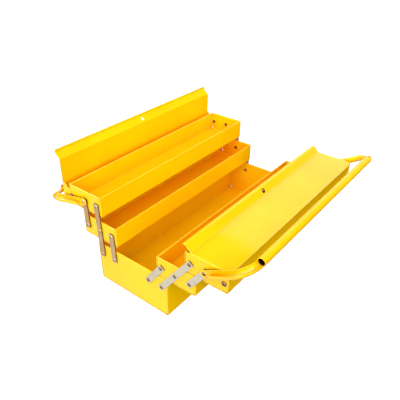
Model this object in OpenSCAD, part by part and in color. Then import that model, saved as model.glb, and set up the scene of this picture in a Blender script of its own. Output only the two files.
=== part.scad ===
// Cantilever tool box: a folded sheet-steel base, two lower and two upper
// trays that swing out on flat links, two hinged lids and two bail handles.
// X runs across the box, Y along it, Z up. The origin is the middle of the
// base's underside. Tray parts are drawn in their own frame: u is the distance
// from the box's centre line and w the height above the tray's floor.

/* [Box] */
// Length of the base and the trays
box_l = 520; // [300:5:700]
// Width of the base
base_w = 200; // [170:2:280]
// Height of the base
base_h = 99; // [80:1:140]
// Height of each tray
tray_h = 48; // [44:1:70]
// Gap between one level's rim and the floor above it, trays at a stop
stack_gap = 1; // [0.6:0.1:3]
// Gap from the centre line to a tray's inner wall, were it flush with the base
tray_inset = 1.5; // [1:0.1:5]

/* [Sheet steel] */
// Thickness of the sheet
sheet_t = 1; // [0.7:0.1:1.5]
// Inside radius of a bend
bend_r = 1; // [0.5:0.1:3]
// Height of the hem folded into each rim
hem_h = 6; // [4:0.5:10]
// Slit left inside a hem
hem_slit = 0.2; // [0.1:0.05:0.5]
// Depth of the flanges that join an end panel to its pan
flange_d = 12; // [8:1:20]

/* [Links] */
// Distance of the outermost pivot from a tray's outer wall
outer_pivot_in = 13.2; // [11:0.1:18]
// Distance of the innermost pivot from a tray's inner wall
inner_pivot_in = 12.7; // [11:0.1:18]
// Height of the tray pivots above the tray's floor
pivot_up = 24.5; // [15:0.5:30]
// Width of a link
link_w = 14; // [10:0.5:18]
// Thickness of a link
link_t = 1.8; // [1:0.1:3]
// Radius of a link's corners
link_corner = 2.5; // [0.5:0.1:5]

/* [Rivets] */
// Diameter of every rivet's shank
rivet_d = 5; // [4.6:0.1:6]
// Diameter of a rivet's heads
head_d = 9; // [7:0.5:11]
// Height of a rivet's outer head
head_h = 1.4; // [0.8:0.1:2.5]
// Height of a rivet's closed head inside
tail_h = 1.2; // [0.6:0.1:2]
// Diameter of the hollow in a rivet's outer end
hollow_d = 3.6; // [1:0.1:4]
// Metal left behind that hollow
hollow_back = 2.2; // [1:0.1:4]
// Outside diameter of a spacing washer
washer_d = 11; // [9:0.5:14]
// Thickness of a spacing washer
washer_t = 1; // [0.6:0.1:2]
// Clearance round a shank in a piece that turns on it
turn_clear = 0.05; // [0.02:0.01:0.1]
// Clearance round a shank in a piece that it holds still
hole_clear = 0.1; // [0.05:0.05:0.3]
// Play between faces that turn against each other
side_play = 0.15; // [0.1:0.05:0.3]

/* [Lids] */
// Distance of a lid's pivot from the outer wall
lid_pivot_in = 7.7; // [7:0.1:12]
// Height of a lid's pivot above the tray's floor
lid_pivot_up = 22; // [15:0.5:26]
// Height of the lid's flat above the tray's rim
lid_rise = 3.2; // [3:0.1:6]
// Overhang of the lid's outer edge past the outer wall
lid_over = 5.3; // [4:0.1:8]
// Length of the cut across a lid's outer corner, along the tray
lid_cut_l = 20; // [10:1:40]
// Depth of that cut, across the tray
lid_cut_w = 4; // [1:0.1:4]
// Gap between the two lids when the box is shut
lid_gap = 1; // [0.6:0.1:3]
// How far a lower tray stands outboard of the base when the lids meet
shut_shift = 2; // [0:0.1:4]
// Width of the flat strip along the top of the ridge
ridge_strip = 7; // [4:0.5:12]
// Height of the ridge above the lid's flat
ridge_rise = 12.8; // [6:0.2:20]
// Slope of the ridge's side
ridge_slope = 48; // [35:1:65]
// Straight length of a lid's turned-down ends, below their bend
lid_lip = 0.5; // [0.2:0.1:8]
// Reach of the hinge tab along the lid, measured from the pivot
tab_reach = 25; // [18:1:50]
// Radius of the hinge tab round the pivot
tab_r = 6.4; // [5.5:0.1:8]
// Gap between the tray's end and the lid's flange
skirt_gap = 0.3; // [0.2:0.05:1]
// Diameter of the padlock hole
lock_d = 8; // [5:0.5:10]

/* [Handles] */
// Reach of the grip from the handle's pivot
handle_r = 112; // [90:1:140]
// Outside diameter of the grip
grip_d = 17.2; // [14:0.2:24]
// Thickness of the handle's sheet
handle_t = 1.2; // [1:0.1:2]
// Radius of the corner between arm and grip
corner_r = 38; // [25:1:50]
// Width of an arm at its pivot
arm_w = 9; // [8:0.5:14]

/* [Pose] */
// Turn of the left links from their open stop
left_link_turn = 34.5; // [0:0.5:70]
// Turn of the right links from their open stop
right_link_turn = 0; // [0:0.5:70]
// Opening of the left lid
left_lid_turn = 88.6; // [0:0.1:90]
// Opening of the right lid
right_lid_turn = 0; // [0:0.1:90]
// Height of the left handle above the level
left_handle_turn = -11; // [-56:1:34]
// Height of the right handle above the level
right_handle_turn = 31; // [-56:1:113]

/* [Hidden] */
$fn = 40;

left = -1;
right = 1;
front = -1;
rear = 1;
paint = [1, 0.8, 0.05];
plated = [0.78, 0.74, 0.72];

// Levels and the linkage
level_rise = tray_h + stack_gap;
wall_u = base_w / 2;
outer_u = wall_u - outer_pivot_in;
inner_u = tray_inset + inner_pivot_in;
mid_u = (outer_u + inner_u) / 2;
link_run = outer_u - mid_u;
link_pitch = norm([link_run, level_rise]);
open_lean = asin(link_run / link_pitch);
lower_floor = base_h + stack_gap;
base_pivot_z = lower_floor + pivot_up - level_rise;

// Layers outward from an end panel's face
link_o = washer_t + side_play;
head_o = link_o + link_t + side_play;
// a handle's arm passes over the heads of the link rivets
arm_washer_t = head_h;
arm_o = head_o + arm_washer_t + side_play;
arm_head_o = arm_o + handle_t + side_play;
skirt_o = skirt_gap;
lid_washer_o = skirt_o + sheet_t + side_play;
lid_head_o = lid_washer_o + washer_t + side_play;

// Lid
lid_u = wall_u - lid_pivot_in;
lid_top = tray_h + lid_rise;
lid_edge_u = wall_u + lid_over;
lid_end_u = lid_edge_u - lid_cut_w;
tip_u = lid_gap / 2 - 2 * shut_shift;
crest_u = tip_u + ridge_strip;
foot_u = crest_u + ridge_rise / tan(ridge_slope);
ridge_top = lid_top + ridge_rise;

// Handle
grip_r = grip_d / 2;
arm_l = handle_r - corner_r;
grip_o = arm_o + grip_r;
grip_l = box_l + 2 * (grip_o - corner_r);
// how far the gutter is open from straight up, at the arm's start and at the
// grip: on the side next to the box and on the outer side
arm_up = 90;
box_open = 20;
box_open_grip = 58;
outer_open = 86;
outer_open_grip = 130;
// the outer side starts low, beside the rivet
outer_open_start = 150;
arm_start = 5;
// power of the rounded square that an arm's section starts from
arm_square = 4;
// how far the gutter's sheet is let in to the grip's, outside, inside and along it
let_in = 0.08;
let_in_inside = 0.2;
arm_overlap = 1;
gutter_t = handle_t - let_in_inside;
arm_steps = 5;
corner_steps = 12;
gutter_steps = arm_steps + corner_steps;
section_steps = 18;

// Folded sheet
half_t = sheet_t / 2;
mid_r = bend_r + half_t;
hem_step = sheet_t + hem_slit;
hem_r = hem_step / 2;
bend_steps = 5;
// room left at the corners of an end panel and round the inside of a pan's bends
corner_room = 1.5;
// room between a rim's hem and what stands under or beside it
hem_room = 1;
// length by which two stretches of one sheet overlap
lap = 2;
// run of a cut past the faces that it opens
past = 1;
// cut across the outer corner of a lid's tab
tab_corner = 2;

// ---- Folded sheet -------------------------------------------------------

function unit(v) = v / norm(v);
function turned(v, a) = [v[0] * cos(a) - v[1] * sin(a), v[0] * sin(a) + v[1] * cos(a)];
function left_of(v) = [-v[1], v[0]];

// Points and directions round the corner b of the line a-b-c, mid-sheet radius r
function bend(a, b, c, r) =
    let (d1 = unit(b - a), d2 = unit(c - b))
    let (s = sign(cross(d1, d2)), turn = acos(d1 * d2))
    let (centre = b - d1 * r * tan(turn / 2) + s * r * left_of(d1))
    [for (k = [0:bend_steps])
        let (d = turned(d1, s * turn * k / bend_steps)) [centre - s * r * left_of(d), d]];

// Outline of a sheet folded along the mid-sheet line p, with radius r[i] at p[i]
function folded(p, r) =
    let (last = len(p) - 1)
    let (line = concat(
        [[p[0], unit(p[1] - p[0])]],
        [for (i = [1:last - 1]) each bend(p[i - 1], p[i], p[i + 1], r[i])],
        [[p[last], unit(p[last] - p[last - 1])]]))
    concat(
        [for (q = line) q[0] + left_of(q[1]) * sheet_t / 2],
        [for (i = [len(line) - 1:-1:0]) line[i][0] - left_of(line[i][1]) * sheet_t / 2]);

// Floor and two hemmed walls of a pan between u0 and u1
function pan_outline(u0, u1, h) = folded(
    [[u0 + half_t + hem_step, h - hem_h], [u0 + half_t + hem_step, h - half_t],
     [u0 + half_t, h - half_t], [u0 + half_t, half_t],
     [u1 - half_t, half_t], [u1 - half_t, h - half_t],
     [u1 - half_t - hem_step, h - half_t], [u1 - half_t - hem_step, h - hem_h]],
    [0, hem_r, hem_r, mid_r, mid_r, hem_r, hem_r, 0]);

// A pan's length runs along Y
module pan(u0, u1, h)
    color(paint)
    rotate([90, 0, 0])
    linear_extrude(box_l, center = true)
    polygon(pan_outline(u0, u1, h));

// Rear end panel between a pan's walls, bored for rivets at the points in holes.
// It is drawn with its outer face at y = 0 and its flanges towards -Y.
module end_panel(u0, u1, h, holes) {
    a = u0 + sheet_t;
    b = u1 - sheet_t;
    relief = bend_r + sheet_t + corner_room;
    side_top = h - hem_h - hem_room;
    foot_top = sheet_t + relief + lap;
    color(paint)
    difference() {
        union() {
            // wall with its two side flanges
            translate([0, 0, sheet_t + relief])
            linear_extrude(side_top - sheet_t - relief)
            polygon(folded(
                [[a + half_t, -flange_d], [a + half_t, -half_t],
                 [b - half_t, -half_t], [b - half_t, -flange_d]],
                [0, mid_r, mid_r, 0]));
            // floor flange and the foot of the wall
            across(a + relief, b - relief)
            polygon(folded(
                [[-flange_d, sheet_t + half_t], [-half_t, sheet_t + half_t], [-half_t, foot_top]],
                [0, mid_r, 0]));
            // hemmed rim
            across(a + hem_step + hem_room, b - hem_step - hem_room)
            polygon(folded(
                [[-half_t, side_top - lap], [-half_t, h - half_t],
                 [-half_t - hem_step, h - half_t], [-half_t - hem_step, h - hem_h]],
                [0, hem_r, hem_r, 0]));
        }
        for (p = holes)
            translate([p[0], 0, p[1]])
            along_y(-sheet_t - past, past, rivet_d / 2 + hole_clear);
    }
}

// Extrudes a (y, z) outline along X from x0 to x1
module across(x0, x1)
    translate([x0, 0, 0])
    rotate([90, 0, 90])
    linear_extrude(x1 - x0)
    children();

// Cylinder of radius r along Y, from y0 to y1
module along_y(y0, y1, r)
    translate([0, y0, 0])
    rotate([-90, 0, 0])
    cylinder(r = r, h = y1 - y0);

// ---- Places -------------------------------------------------------------

function lean(side) = open_lean - (side == left ? left_link_turn : right_link_turn);
function shift(side, level) = level * (link_run + link_pitch * sin(lean(side)));
function rise(side, level) = level == 0 ? 0
    : lower_floor + (level - 1) * level_rise
      + level * (link_pitch * cos(lean(side)) - level_rise);

// Puts what is drawn in a tray's (u, y, w) frame on its side and level
module on_level(side, level)
    mirror([side == left ? 1 : 0, 0, 0])
    translate([shift(side, level), 0, rise(side, level)])
    children();

// Puts what is drawn with the end face at y = 0, outward along +Y, at an end
module at_end(end)
    mirror([0, end == front ? 1 : 0, 0])
    translate([0, box_l / 2, 0])
    children();

tray_holes = [[inner_u, pivot_up], [mid_u, pivot_up], [outer_u, pivot_up]];
upper_holes = [[inner_u, pivot_up], [mid_u, pivot_up], [lid_u, lid_pivot_up]];
base_holes = [for (s = [left, right], u = [mid_u, outer_u]) [s * u, base_pivot_z]];

module tray_pan(side, level)
    on_level(side, level)
    pan(tray_inset, wall_u, tray_h);

module tray_end(side, level, end)
    on_level(side, level)
    at_end(end)
    end_panel(tray_inset, wall_u, tray_h, level == 1 ? tray_holes : upper_holes);

// ---- Rivets and washers -------------------------------------------------

// Semi-tubular rivet through an end panel, its outer head starting at height o
module rivet(o)
    color(plated)
    difference() {
        union() {
            along_y(-sheet_t, o, rivet_d / 2);
            along_y(-sheet_t - tail_h, -sheet_t, head_d / 2);
            translate([0, o, 0])
            rotate([-90, 0, 0])
            rivet_head();
        }
        along_y(hollow_back - sheet_t - tail_h, o + head_h + past, hollow_d / 2);
    }

// Low domed head, cut from a sphere
module rivet_head() {
    r = (pow(head_d / 2, 2) + head_h * head_h) / (2 * head_h);
    rotate_extrude()
    intersection() {
        translate([0, head_h - r])
        circle(r, $fn = 160);
        square([head_d, head_h]);
    }
}

// Spacing washer of thickness t, standing off the end panel by o
module washer(o, t)
    color(plated)
    difference() {
        along_y(o, o + t, washer_d / 2);
        along_y(o - past, o + t + past, rivet_d / 2 + hole_clear);
    }

// Draws the children at each of the points and at both ends of a level
module at_pivots(side, level, points)
    on_level(side, level)
    for (end = [front, rear], p = points)
        at_end(end)
        translate([p[0], 0, p[1]])
        children();

module base_group()
    for (end = [front, rear], p = base_holes)
        at_end(end)
        translate([p[0], 0, p[1]])
        children();

// ---- Links --------------------------------------------------------------

// Flat bar with a bore at each multiple of the link pitch
module link_bar(spans) {
    end_r = link_w / 2;
    color(plated)
    difference() {
        rotate([-90, 0, 0])
        linear_extrude(link_t)
        for (x = [-end_r + link_corner, end_r - link_corner],
             z = [end_r - link_corner, -spans * link_pitch - end_r + link_corner])
            bar_piece(x, z, spans);
        for (k = [0:spans])
            translate([0, 0, k * link_pitch])
            along_y(-past, link_t + past, rivet_d / 2 + turn_clear);
    }
}

// One rounded corner of the bar and its share of the two crossing rectangles
module bar_piece(x, z, spans) {
    end_r = link_w / 2;
    full = spans * link_pitch + link_w;
    translate([x, z])
    circle(link_corner);
    translate([-end_r, -full + end_r + link_corner])
    square([link_w, full - 2 * link_corner]);
    translate([-end_r + link_corner, -full + end_r])
    square([link_w - 2 * link_corner, full]);
}

// A link from the pivot at u on a level, leaning with its side
module link(side, level, u, spans, end)
    on_level(side, level)
    translate([u, 0, level == 0 ? base_pivot_z : pivot_up])
    at_end(end)
    translate([0, link_o, 0])
    rotate([0, lean(side), 0])
    link_bar(spans);

// ---- Lids ---------------------------------------------------------------

// Lid in its tray's frame, shut
module lid_shape() {
    ramp_mid = [(foot_u + crest_u) / 2, (lid_top + ridge_top) / 2 - half_t];
    color(paint)
    difference() {
        union() {
            rotate([90, 0, 0])
            linear_extrude(box_l, center = true)
            polygon(folded(
                [[lid_edge_u, lid_top - half_t], [foot_u, lid_top - half_t],
                 [crest_u, ridge_top - half_t], [tip_u, ridge_top - half_t]],
                [0, mid_r, mid_r + half_t, 0]));
            for (end = [front, rear])
                at_end(end)
                lid_skirt_piece();
        }
        for (end = [front, rear])
            at_end(end)
            lid_corner_cut();
        // padlock hole, square to the ridge's side
        translate([ramp_mid[0], 0, ramp_mid[1]])
        rotate([0, ridge_slope, 0])
        cylinder(d = lock_d, h = 2 * (sheet_t + past), center = true);
        for (end = [front, rear])
            at_end(end)
            translate([lid_u, 0, lid_pivot_up])
            along_y(-past, skirt_o + sheet_t + past, rivet_d / 2 + turn_clear);
    }
}

// What a lid loses at an outer corner
module lid_corner_cut()
    translate([0, 0, lid_top - sheet_t - past])
    linear_extrude(sheet_t + 2 * past)
    polygon([[lid_edge_u, -lid_cut_l], [lid_end_u, 0], [lid_edge_u + past, 0],
             [lid_edge_u + past, -lid_cut_l]]);

// Turned-down end of a lid, with the triangular tab that carries the pivot
module lid_skirt_piece() {
    from_u = foot_u + mid_r + corner_room;
    out = skirt_o + half_t;
    hang = lid_top - sheet_t - bend_r;
    low = hang - lid_lip;
    // flat turned down over the tray's end
    across(from_u, lid_end_u)
    polygon(folded(
        [[-flange_d, lid_top - half_t], [out, lid_top - half_t], [out, low]],
        [0, mid_r, 0]));
    // tab
    translate([0, skirt_o + sheet_t, 0])
    rotate([90, 0, 0])
    linear_extrude(sheet_t) {
        polygon(tab_outline(hang, low));
        translate([lid_u, lid_pivot_up])
        circle(tab_r);
    }
}

// Tab from the flat's edge down to the circle round the pivot, square on its outer side
function tab_outline(hang, low) =
    let (top = [lid_u - tab_reach, low], to_pivot = [lid_u, lid_pivot_up] - top)
    let (lead = atan2(to_pivot[1], to_pivot[0]), dip = asin(tab_r / norm(to_pivot)))
    let (touch = [lid_u, lid_pivot_up] + tab_r * [cos(lead - dip - 90), sin(lead - dip - 90)])
    let (foot = lid_pivot_up - tab_r)
    [[top[0] - lap, hang], [top[0] - lap, low], top, touch, [lid_u, lid_pivot_up],
     [lid_u, foot], [lid_end_u - tab_corner, foot], [lid_end_u, foot + tab_corner],
     [lid_end_u, hang]];

module lid(side, turn)
    on_level(side, 2)
    translate([lid_u, 0, lid_pivot_up])
    rotate([0, turn, 0])
    translate([-lid_u, 0, -lid_pivot_up])
    lid_shape();

// ---- Handles ------------------------------------------------------------

function mix(a, b, f) = a + (b - a) * f;

// Point at angle a on an oval, round for power 2 and squarer for higher powers
function rounded_square(half_w, half_h, power, a) = [
    half_w * sign(cos(a)) * pow(abs(cos(a)), 2 / power),
    half_h * sign(sin(a)) * pow(abs(sin(a)), 2 / power)];

// Gutter section at step i on the way from the pivot to the grip: [outward, up]
// points round the outside and back round the inside, let in to the sheet it joins
function gutter(i) =
    let (f = i / gutter_steps, g = min(1, i / arm_steps))
    let (half_w = mix(arm_w / 2, grip_r, g), power = mix(arm_square, 2, g))
    let (outer = i == 0 ? outer_open_start : mix(outer_open, outer_open_grip, f * f))
    let (from = arm_up + mix(box_open, box_open_grip, f), to = arm_up + 360 - outer)
    let (turns = [for (k = [0:section_steps]) mix(from, to, k / section_steps)])
    concat(
        [for (a = turns) [half_w, 0]
            + rounded_square(half_w - let_in, grip_r - let_in, power, a)],
        [for (k = [section_steps:-1:0]) [half_w, 0]
            + rounded_square(half_w - gutter_t, grip_r - gutter_t, power, turns[k])]);

// Place of a section's point p where the handle has turned by an angle, at x
// along the arm or past the corner by run
function on_handle(p, x, turn, run) =
    let (reach = corner_r - grip_r + p[0])
    [x + reach * sin(turn), grip_o - corner_r + reach * cos(turn) - run, p[1]];

// Open gutter from the pivot at the origin out along the arm, round the corner
// and into the end of the grip
module arm() {
    ring = 2 * (section_steps + 1);
    points = concat(
        [for (i = [0:arm_steps], p = gutter(i))
            on_handle(p, mix(arm_start, arm_l, i / arm_steps), 0, 0)],
        [for (i = [1:corner_steps], p = gutter(arm_steps + i))
            on_handle(p, arm_l, 90 * i / corner_steps, 0)],
        [for (p = gutter(gutter_steps)) on_handle(p, arm_l, 90, arm_overlap)]);
    sides = [for (i = [0:gutter_steps], k = [0:ring - 1])
        let (a = i * ring + k, b = i * ring + (k + 1) % ring)
        each [[b + ring, b, a], [a + ring, b + ring, a]]];
    // each end is a row of four-sided faces between the outside and the inside
    start = [for (k = [0:section_steps - 1]) [k, k + 1, ring - 2 - k, ring - 1 - k]];
    finish = [for (f = start) [for (k = [3:-1:0]) (gutter_steps + 1) * ring + f[k]]];
    polyhedron(points, concat(sides, start, finish), convexity = 8);
}

// Handle level with its pivot at the origin of u and w
module handle_shape()
    color(paint)
    difference() {
        union() {
            for (end = [front, rear])
                at_end(end) {
                    arm();
                    along_y(arm_o, arm_o + handle_t, grip_r);
                }
            translate([handle_r, 0, 0])
            difference() {
                along_y(-grip_l / 2, grip_l / 2, grip_r);
                along_y(-grip_l / 2 - past, grip_l / 2 + past, grip_r - handle_t);
            }
        }
        for (end = [front, rear])
            at_end(end)
            along_y(arm_o - past, arm_o + handle_t + past, rivet_d / 2 + turn_clear);
    }

module handle(side, turn)
    on_level(side, 2)
    translate([mid_u, 0, pivot_up])
    rotate([0, -turn, 0])
    handle_shape();

// ---- Sub-parts ----------------------------------------------------------

module base_pan() pan(-wall_u, wall_u, base_h);
module base_end(end) at_end(end) end_panel(-wall_u, wall_u, base_h, base_holes);
module base_rivets() base_group() rivet(head_o);
module base_washers() base_group() washer(0, washer_t);

module lower_rivets(side) at_pivots(side, 1, tray_holes) rivet(head_o);
module lower_washers(side) at_pivots(side, 1, tray_holes) washer(0, washer_t);
module upper_rivets(side) at_pivots(side, 2, [[inner_u, pivot_up]]) rivet(head_o);
module upper_washers(side) {
    at_pivots(side, 2, [[inner_u, pivot_up], [mid_u, pivot_up]]) washer(0, washer_t);
    at_pivots(side, 2, [[mid_u, pivot_up]]) washer(head_o, arm_washer_t);
    at_pivots(side, 2, [[lid_u, lid_pivot_up]]) washer(lid_washer_o, washer_t);
}
module handle_rivets(side) at_pivots(side, 2, [[mid_u, pivot_up]]) rivet(arm_head_o);
module lid_rivets(side) at_pivots(side, 2, [[lid_u, lid_pivot_up]]) rivet(lid_head_o);

module long_link(side, end) link(side, 0, outer_u, 2, end);
module low_link(side, end) link(side, 0, mid_u, 1, end);
module high_link(side, end) link(side, 1, outer_u, 1, end);

base_pan();
base_end(front);  // base_end_front
base_end(rear);  // base_end_rear
base_rivets();
base_washers();
tray_pan(left, 1);  // left_lower_pan
tray_end(left, 1, front);  // left_lower_end_front
tray_end(left, 1, rear);  // left_lower_end_rear
lower_rivets(left);  // left_lower_rivets
lower_washers(left);  // left_lower_washers
tray_pan(right, 1);  // right_lower_pan
tray_end(right, 1, front);  // right_lower_end_front
tray_end(right, 1, rear);  // right_lower_end_rear
lower_rivets(right);  // right_lower_rivets
lower_washers(right);  // right_lower_washers
tray_pan(left, 2);  // left_upper_pan
tray_end(left, 2, front);  // left_upper_end_front
tray_end(left, 2, rear);  // left_upper_end_rear
upper_rivets(left);  // left_upper_rivets
upper_washers(left);  // left_upper_washers
handle_rivets(left);  // left_handle_rivets
lid_rivets(left);  // left_lid_rivets
tray_pan(right, 2);  // right_upper_pan
tray_end(right, 2, front);  // right_upper_end_front
tray_end(right, 2, rear);  // right_upper_end_rear
upper_rivets(right);  // right_upper_rivets
upper_washers(right);  // right_upper_washers
handle_rivets(right);  // right_handle_rivets
lid_rivets(right);  // right_lid_rivets
long_link(left, front);  // left_long_link_front
long_link(left, rear);  // left_long_link_rear
low_link(left, front);  // left_low_link_front
low_link(left, rear);  // left_low_link_rear
high_link(left, front);  // left_high_link_front
high_link(left, rear);  // left_high_link_rear
long_link(right, front);  // right_long_link_front
long_link(right, rear);  // right_long_link_rear
low_link(right, front);  // right_low_link_front
low_link(right, rear);  // right_low_link_rear
high_link(right, front);  // right_high_link_front
high_link(right, rear);  // right_high_link_rear
lid(left, left_lid_turn);  // left_lid
lid(right, right_lid_turn);  // right_lid
handle(left, left_handle_turn);  // left_handle
handle(right, right_handle_turn);  // right_handle
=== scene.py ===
import math

import bpy
from mathutils import Matrix, Vector

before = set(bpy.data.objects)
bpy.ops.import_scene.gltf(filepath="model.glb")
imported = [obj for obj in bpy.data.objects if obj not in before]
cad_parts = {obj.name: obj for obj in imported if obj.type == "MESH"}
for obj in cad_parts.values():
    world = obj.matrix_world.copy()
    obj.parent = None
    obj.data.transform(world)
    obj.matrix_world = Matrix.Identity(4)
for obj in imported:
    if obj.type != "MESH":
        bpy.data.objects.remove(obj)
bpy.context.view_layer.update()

# Cantilever tool box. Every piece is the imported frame's own mesh. This script
# gives each one its enamel or metal, and sets up the studio and the camera.
# Lengths are in metres, colours are linear.

# ---- The photograph's camera ----------------------------------------------

PHOTO_PX = 400
CAMERA_PLACE = Vector((0.5733, -0.7726, 0.7364))
CAMERA_AZIMUTH = math.radians(37.47)
CAMERA_ELEVATION = math.radians(32.66)
CAMERA_ROLL = math.radians(0.76)
CAMERA_FOCAL_PX = 466.1
SENSOR_MM = 36


def add_camera():
    back = Vector((
        math.sin(CAMERA_AZIMUTH) * math.cos(CAMERA_ELEVATION),
        -math.cos(CAMERA_AZIMUTH) * math.cos(CAMERA_ELEVATION),
        math.sin(CAMERA_ELEVATION),
    ))
    right = Vector((math.cos(CAMERA_AZIMUTH), math.sin(CAMERA_AZIMUTH), 0))
    up = back.cross(right)
    turn = Matrix.Rotation(CAMERA_ROLL, 3, back)
    axes = Matrix((turn @ right, turn @ up, back)).transposed()
    data = bpy.data.cameras.new("camera")
    data.sensor_width = SENSOR_MM
    data.lens = CAMERA_FOCAL_PX / PHOTO_PX * SENSOR_MM
    camera = bpy.data.objects.new("camera", data)
    camera.matrix_world = Matrix.Translation(CAMERA_PLACE) @ axes.to_4x4()
    bpy.context.scene.collection.objects.link(camera)
    bpy.context.scene.camera = camera


# ---- Node helpers ---------------------------------------------------------


class Nodes:
    """Short hand for building the node tree of a material or a world.

    A value is a socket, a number, a vector or a colour of three parts.
    """

    def __init__(self, owner):
        self.owner = owner
        owner.use_nodes = True
        self.tree = owner.node_tree
        self.tree.nodes.clear()

    def add(self, kind, inputs=None, **settings):
        node = self.tree.nodes.new("ShaderNode" + kind)
        for key, value in settings.items():
            setattr(node, key, value)
        for key, value in (inputs or {}).items():
            self.put(node.inputs[key], value)
        return node

    def put(self, socket, value):
        if isinstance(value, bpy.types.NodeSocket):
            self.tree.links.new(value, socket)
        elif socket.type == "RGBA":
            socket.default_value = (*value, 1)
        else:
            socket.default_value = value

    def maths(self, operation, *values):
        inputs = dict(enumerate(values))
        return self.add("Math", inputs, operation=operation).outputs["Value"]

    def product(self, first, *others):
        for other in others:
            first = self.maths("MULTIPLY", first, other)
        return first

    def vectors(self, operation, *values):
        inputs = dict(enumerate(values))
        return self.add("VectorMath", inputs, operation=operation).outputs

    def parts(self, vector):
        """The x, y and z of a vector."""
        return self.add("SeparateXYZ", {0: vector}).outputs[:]

    def between(self, value, start, end, low=0.0, high=1.0):
        """Maps start..end of value to low..high, held at both ends."""
        return self.add("MapRange", {
            "Value": value, "From Min": start, "From Max": end, "To Min": low, "To Max": high,
        }).outputs["Result"]

    def ramp(self, fac, stops):
        node = self.add("ValToRGB", {"Fac": fac})
        for element, (place, colour) in zip(node.color_ramp.elements, stops):
            element.position = place
            element.color = (*colour, 1)
        return node.outputs["Color"]

    def mix(self, fac, first, second):
        """first where fac is 0, second where it is 1, both colours."""
        inputs = {"Factor": fac, 6: first, 7: second}
        return self.add("Mix", data_type="RGBA", inputs=inputs).outputs[2]

    def place(self):
        return self.add("TexCoord").outputs["Object"]

    def noise(self, vector, scale, detail, roughness):
        return self.add("TexNoise", {
            "Vector": vector, "Scale": scale, "Detail": detail, "Roughness": roughness,
        }).outputs["Fac"]

    def openness(self, reach, samples):
        """1 in the open, less where something stands nearer than reach."""
        return self.add("AmbientOcclusion", {"Distance": reach}, samples=samples).outputs["AO"]

    def rounded(self, radius):
        """The normal, with arrises and inner corners rounded to radius."""
        return self.add("Bevel", {"Radius": radius}, samples=4).outputs["Normal"]

    def bump(self, height, depth, strength, normal):
        return self.add("Bump", {
            "Height": height, "Distance": depth, "Strength": strength, "Normal": normal,
        }).outputs["Normal"]

    def finish(self, shader, output="OutputMaterial"):
        out = self.add(output)
        self.tree.links.new(shader.outputs[0], out.inputs["Surface"])
        return self.owner


# ---- Enamel ---------------------------------------------------------------

PAINT_DEEP = (0.920, 0.505, 0.0005)
PAINT_LIGHT = (0.950, 0.560, 0.001)
# painted highlight on an arris, where a rounded edge would catch the light
PAINT_EDGE_HIGHLIGHT = (1.0, 0.80, 0.16)
# painted shade in a narrow seam
PAINT_SEAM_SHADE = (0.14, 0.05, 0.0)
# deep between the trays, where only light off the paint gets in
PAINT_SHADE = (0.96, 0.21, 0.0)
# near-black painted shade deep inside a rolled grip and at the padlock hole
PAINTED_SHADE_DARK = (0.012, 0.008, 0.004)

# noises: cells to the metre, detail, roughness
CLOUD = (9, 3, 0.5)
WAVE = (7, 1, 0.5)
PEEL = (420, 2, 0.5)
DUST = (60, 4, 0.6)
# bumps: depth, strength
WAVE_BUMP = (0.004, 0.35)
PEEL_BUMP = (0.0002, 0.2)

ENAMEL_ROUGHNESS = (0.34, 0.46)
ENAMEL_SPECULAR = 0.03
COAT_ROUGHNESS = 0.03

ARRIS_RADIUS = 0.0012
# cosine of the rounded normal to the true one where an arris starts and is full
ARRIS_TURN = (0.985, 0.90)
# share of the painted highlight on an arris
ARRIS_HIGHLIGHT = 0.9
HANDLE_ARRIS_HIGHLIGHT = 0.15

# openness within a reach, as Nodes.openness gives it: where an arris highlight, a seam's painted
# shade and a painted shaded place start and are full, and the most that seam shade and shade
# cover
SEAM_REACH = 0.010
ARRIS_OPEN = (0.6, 0.8)
SEAM_OPEN = (0.44, 0.15)
SEAM_MOST = 0.95
SHADE_REACH = 0.100
SHADE_OPEN = (0.50, 0.10)
SHADE_MOST = 0.6

# the grip's outer radius, its sheet and the radius of the corners beside it
GRIP_RADIUS = 0.0086
GRIP_SHEET = 0.0012
GRIP_CORNER = 0.038
# how far inside the mouths of a grip its painted shade is full
GRIP_SHADE_FADE = {"right_handle": 0.004, "left_handle": 0.030}

# balls of near-black painted shade at the padlock hole: in from the piece's left edge,
# along from its middle, down from its top, and the reach of the shade
HOLE_SHADE = {
    "right_lid": (0.01276, 0.0, 0.0069, 0.0058),
    "right_upper_pan": (0.0017, 0.0137, 0.0010, 0.0090),
}
HOLE_SHADE_FADE = 0.0005


def extent(node):
    """The lowest and the highest corner of a node's mesh."""
    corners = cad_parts[node].bound_box
    low = Vector([min(corner[axis] for corner in corners) for axis in range(3)])
    high = Vector([max(corner[axis] for corner in corners) for axis in range(3)])
    return low, high


def arris_highlight_mask(n, rounded, openness, most):
    """Painted highlight: up to most on an arris, where the rounded normal leaves the true one, 0
    elsewhere.
    """
    true = n.add("NewGeometry").outputs["Normal"]
    dot = n.vectors("DOT_PRODUCT", rounded, true)["Value"]
    # an inner corner is rounded too, but it isn't open
    outward = n.between(openness, *ARRIS_OPEN, 0.0, most)
    return n.product(n.between(dot, *ARRIS_TURN), outward)


def tube_shade_mask(n, place, node):
    """1 on the inner face of a handle's grip, where near-black painted shade goes, 0 elsewhere
    and at the grip's mouths.
    """
    low, high = extent(node)
    # the right grip is its handle's highest part, the left one its lowest
    if node == "right_handle":
        axis = (high.x - GRIP_RADIUS, 0, high.z - GRIP_RADIUS)
    else:
        axis = (low.x + GRIP_RADIUS, 0, low.z + GRIP_RADIUS)
    x, y, z = n.parts(n.vectors("SUBTRACT", place, axis)["Vector"])
    flat = n.add("CombineXYZ", {"X": x, "Y": z}).outputs["Vector"]
    radius = n.vectors("LENGTH", flat)["Value"]
    within = n.maths("LESS_THAN", radius, GRIP_RADIUS - GRIP_SHEET / 2)
    mouth = high.y - GRIP_RADIUS - GRIP_CORNER
    deep = n.between(n.maths("ABSOLUTE", y), mouth, mouth - GRIP_SHADE_FADE[node])
    return n.product(within, deep)


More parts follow.
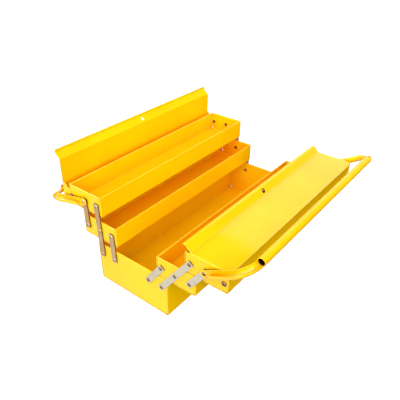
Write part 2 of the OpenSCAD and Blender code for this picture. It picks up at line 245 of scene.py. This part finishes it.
def hole_shade_mask(n, place, node):
    """1 in a ball of painted shade at the padlock hole, 0 elsewhere."""
    inward, along, down, reach = HOLE_SHADE[node]
    low, high = extent(node)
    centre = (low.x + inward, along, high.z - down)
    apart = n.vectors("DISTANCE", place, centre)["Value"]
    return n.between(apart, reach, reach - HOLE_SHADE_FADE)


def enamel(name, arris=ARRIS_HIGHLIGHT, shade_mask=None, node=None):
    """Gloss enamel on thin sheet: faint orange peel, and a slow wave of the sheet itself.

    The mask, the grip's or the padlock hole's, marks where near-black painted shade goes on the
    node.
    """
    n = Nodes(bpy.data.materials.new(name))
    place = n.place()
    rounded = n.rounded(ARRIS_RADIUS)
    near_open = n.openness(SEAM_REACH, 6)
    far_open = n.openness(SHADE_REACH, 8)
    colour = n.ramp(n.noise(place, *CLOUD), [(0.3, PAINT_DEEP), (0.7, PAINT_LIGHT)])
    # painted highlight on the arrises
    colour = n.mix(arris_highlight_mask(n, rounded, near_open, arris), colour, PAINT_EDGE_HIGHLIGHT)
    colour = n.mix(n.between(far_open, *SHADE_OPEN, 0.0, SHADE_MOST), colour, PAINT_SHADE)
    # painted shade in narrow seams
    colour = n.mix(n.between(near_open, *SEAM_OPEN, 0.0, SEAM_MOST), colour, PAINT_SEAM_SHADE)
    # near-black painted shade deep in a grip and at the padlock hole
    if shade_mask:
        colour = n.mix(shade_mask(n, place, node), colour, PAINTED_SHADE_DARK)
    waved = n.bump(n.noise(place, *WAVE), *WAVE_BUMP, rounded)
    peeled = n.bump(n.noise(place, *PEEL), *PEEL_BUMP, waved)
    return n.finish(n.add("BsdfPrincipled", {
        "Base Color": colour,
        "Roughness": n.between(n.noise(place, *DUST), 0, 1, *ENAMEL_ROUGHNESS),
        "Specular IOR Level": ENAMEL_SPECULAR,
        "Normal": peeled,
        "Coat Weight": 1.0,
        "Coat Roughness": COAT_ROUGHNESS,
        "Coat Normal": peeled,
    }))


# ---- Metal ----------------------------------------------------------------

ZINC_PALE = (0.86, 0.80, 0.62)
ZINC_TAN = (0.74, 0.46, 0.20)
ZINC_DULL = (0.34, 0.22, 0.11)
# the links' sheared side faces: bare, dull steel, darkened further as painted shade
ZINC_SIDE_SHADE = (0.16, 0.08, 0.03)
ZINC_CLOUD = (38, 3, 0.6)
ZINC_MOTTLE = (260, 3, 0.6)
ZINC_BUMP = (0.0002, 0.3)
# painted light: the links are tan at the left of this stretch of X and painted pale at its
# right, where they catch more light
ZINC_SIDE_LIGHT = (-0.08, 0.14)
SIDE_LIGHT_MOST = 0.75
# the mottle where a dull speck starts and is full, and the most that it covers
SPECK = (0.42, 0.28)
SPECK_MOST = 0.6
# how far a face points along Y where it starts to be a sheared side face, with painted shade,
# and fully is
SHEARED = (0.6, 0.3)
ZINC_ARRIS_RADIUS = 0.0004
ZINC_METALLIC = 0.8
METAL_ROUGHNESS = (0.3, 0.5)

RIVET_PALE = (0.42, 0.22, 0.13)
RIVET_DARK = (0.05, 0.03, 0.02)
# painted pale highlight on the heads at the left
RIVET_HIGHLIGHT = (0.80, 0.70, 0.50)
RIVET_MOTTLE = (300, 3, 0.6)
RIVET_METALLIC = 0.85
RIVET_TONE = (0.6, 1.1)
# the hollows' reach, and the openness where the painted shade of a hollow and of a tray's inside
# is darkest and where it is gone; inside a tray a rivet keeps this share of its tone
RIVET_REACH = 0.003
HOLLOW_OPEN = (0.35, 0.9)
INSIDE_OPEN = (0.4, 0.85)
INSIDE_LEAST = 0.35
# painted highlight on the heads at the left: the stretch of X from none to full, its most,
# and the openness far and near where it starts and is full
HIGHLIGHT_X = (0.0, -0.04)
HIGHLIGHT_MOST = 0.8
HIGHLIGHT_FAR_OPEN = (0.7, 0.9)
HIGHLIGHT_NEAR_OPEN = (0.6, 0.9)


def plated_steel(name):
    """Yellow zinc plate, tan at the left and painted paler at the right where it catches more
    light, with dull specks, and bare sheared edges darkened further as painted shade.
    """
    n = Nodes(bpy.data.materials.new(name))
    place = n.place()
    mottle = n.noise(place, *ZINC_MOTTLE)
    # painted light: paler towards the right, plus a random cloud of tone
    across = n.between(n.parts(place)[0], *ZINC_SIDE_LIGHT, 0.0, SIDE_LIGHT_MOST)
    side_lit_and_cloud = n.maths("ADD", across, n.noise(place, *ZINC_CLOUD))
    colour = n.ramp(side_lit_and_cloud, [(0.5, ZINC_TAN), (1.0, ZINC_PALE)])
    colour = n.mix(n.between(mottle, *SPECK, 0.0, SPECK_MOST), colour, ZINC_DULL)
    # a link's flat faces point along Y, its sheared edges don't
    facing = n.parts(n.add("TexCoord").outputs["Normal"])[1]
    # painted shade on the links' side faces, over their bare steel
    sheared = n.between(n.maths("ABSOLUTE", facing), *SHEARED)
    return n.finish(n.add("BsdfPrincipled", {
        "Base Color": n.mix(sheared, colour, ZINC_SIDE_SHADE),
        "Metallic": ZINC_METALLIC,
        "Roughness": n.between(mottle, 0, 1, *METAL_ROUGHNESS),
        "Normal": n.bump(mottle, *ZINC_BUMP, n.rounded(ZINC_ARRIS_RADIUS)),
    }))


def rivet_steel(name):
    """Rivets and washers: browned, with painted shade in hollows and inside the trays, and a
    painted pale highlight at the left.
    """
    n = Nodes(bpy.data.materials.new(name))
    place = n.place()
    mottle = n.noise(place, *RIVET_MOTTLE)
    near_open = n.openness(RIVET_REACH, 4)
    far_open = n.openness(SHADE_REACH, 6)
    # tone: painted shade in the hollows and inside the trays, times a random mottle
    tone = n.product(
        n.between(near_open, *HOLLOW_OPEN),
        n.between(far_open, *INSIDE_OPEN, INSIDE_LEAST, 1.0),
        n.between(mottle, 0, 1, *RIVET_TONE),
    )
    browned = n.ramp(tone, [(0.1, RIVET_DARK), (0.8, RIVET_PALE)])
    # painted highlight on the open heads at the left
    left_highlight = n.product(
        n.between(n.parts(place)[0], *HIGHLIGHT_X, 0.0, HIGHLIGHT_MOST),
        n.between(far_open, *HIGHLIGHT_FAR_OPEN),
        n.between(near_open, *HIGHLIGHT_NEAR_OPEN),
    )
    return n.finish(n.add("BsdfPrincipled", {
        "Base Color": n.mix(left_highlight, browned, RIVET_HIGHLIGHT),
        "Metallic": RIVET_METALLIC,
        "Roughness": n.between(mottle, 0, 1, *METAL_ROUGHNESS),
    }))


# ---- Studio ---------------------------------------------------------------

STUDIO_HALF = 40
FLOOR_GAP = 0.0003
FLOOR_GREY = 0.3
FLOOR_ROUGHNESS = 0.9
FLOOR_GLOW = 0.86
WALL_GLOW = 1.1

# brightness of the world's quarters above and below the floor, and the softness
# of the edges between them
BLUR = 0.12
LEFT_FRONT = 0.92
RIGHT_FRONT = 3.7
RIGHT_BACK = 0.06
LOW_LEFT = 0.58
LOW_RIGHT = 0.0
# the left back quarter is a bright panel with a tilted upper edge, dark above it
PANEL_GLOW = 0.96
PANEL_ABOVE = 0.10
PANEL_TOP = 0.742
PANEL_TILT = 0.34
PANEL_BLUR = 0.01

# place, width, height and watts of each soft light
LIGHTS = {
    "front": (Vector((0.0, -3.0, 0.3)), 2.4, 0.9, 22),
    "left": (Vector((-2.6, -0.4, 2.2)), 2.0, 1.4, 58),
    "rear": (Vector((0.4, 3.0, 0.5)), 2.4, 0.8, 45),
}
LIT_CENTRE = Vector((0, 0, 0.15))


def stage_piece(name, corners, faces, shader_kind, inputs):
    """A piece of the studio that the camera sees, and that throws no light on the object."""
    mesh = bpy.data.meshes.new(name)
    mesh.from_pydata(corners, [], faces)
    n = Nodes(bpy.data.materials.new("pale_" + name))
    mesh.materials.append(n.finish(n.add(shader_kind, inputs)))
    piece = bpy.data.objects.new(name, mesh)
    bpy.context.scene.collection.objects.link(piece)
    piece.visible_diffuse = False
    piece.visible_glossy = False
    return piece


def add_studio():
    """A pale floor and four white walls."""
    corners = [
        (x * STUDIO_HALF, y * STUDIO_HALF, z * STUDIO_HALF - FLOOR_GAP)
        for z in (0, 1) for x, y in ((-1, -1), (1, -1), (1, 1), (-1, 1))
    ]
    stage_piece("floor", corners[:4], [(0, 1, 2, 3)], "BsdfPrincipled", {
        "Base Color": (FLOOR_GREY, FLOOR_GREY, FLOOR_GREY),
        "Roughness": FLOOR_ROUGHNESS,
        "Specular IOR Level": 0.0,
        "Emission Color": (1, 1, 1),
        "Emission Strength": FLOOR_GLOW,
    })
    sides = [(i, (i + 1) % 4, (i + 1) % 4 + 4, i + 4) for i in range(4)]
    walls = stage_piece("walls", corners, sides, "Emission", {
        "Color": (1, 1, 1), "Strength": WALL_GLOW,
    })
    walls.visible_shadow = False


def add_world():
    """Pale screens: strong at the right front, a low panel at the left back."""
    n = Nodes(bpy.data.worlds.new("studio"))
    x, y, z = n.parts(n.add("TexCoord").outputs["Generated"])
    tilted = n.maths("MULTIPLY_ADD", x, -PANEL_TILT, z)
    panel = n.between(tilted, PANEL_TOP, PANEL_TOP + PANEL_BLUR, PANEL_GLOW, PANEL_ABOVE)
    left = n.between(y, -BLUR, BLUR, LEFT_FRONT, panel)
    right = n.between(y, -BLUR, BLUR, RIGHT_FRONT, RIGHT_BACK)
    above = n.between(x, -BLUR, BLUR, left, right)
    below = n.between(x, -BLUR, BLUR, LOW_LEFT, LOW_RIGHT)
    strength = n.between(z, -BLUR, BLUR, below, above)
    shader = n.add("Background", {"Color": (1, 1, 1), "Strength": strength})
    bpy.context.scene.world = n.finish(shader, "OutputWorld")


def add_lights():
    for name, (place, width, height, watts) in LIGHTS.items():
        data = bpy.data.lights.new(name, "AREA")
        data.shape = "RECTANGLE"
        data.size = width
        data.size_y = height
        data.energy = watts
        light = bpy.data.objects.new(name, data)
        light.location = place
        light.rotation_euler = (LIT_CENTRE - place).to_track_quat("-Z", "Y").to_euler()
        bpy.context.scene.collection.objects.link(light)


# ---- Assembly -------------------------------------------------------------


def material_of(node, shared):
    """A node's material: shared ones by what the piece is, its own where it has near-black
    painted shade.
    """
    name = "yellow_enamel_" + node
    if node in GRIP_SHADE_FADE:
        return enamel(name, HANDLE_ARRIS_HIGHLIGHT, tube_shade_mask, node)
    if node in HOLE_SHADE:
        return enamel(name, shade_mask=hole_shade_mask, node=node)
    if "rivets" in node or "washers" in node:
        return shared["rivet"]
    if "link" in node:
        return shared["plate"]
    return shared["paint"]


def dress_all():
    shared = {
        "paint": enamel("yellow_enamel"),
        "plate": plated_steel("zinc_plate"),
        "rivet": rivet_steel("browned_rivet"),
    }
    for node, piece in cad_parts.items():
        piece.data.materials.clear()
        piece.data.materials.append(material_of(node, shared))


add_camera()
add_studio()
add_world()
add_lights()
dress_all()

bpy.context.scene.view_settings.view_transform = "Standard"
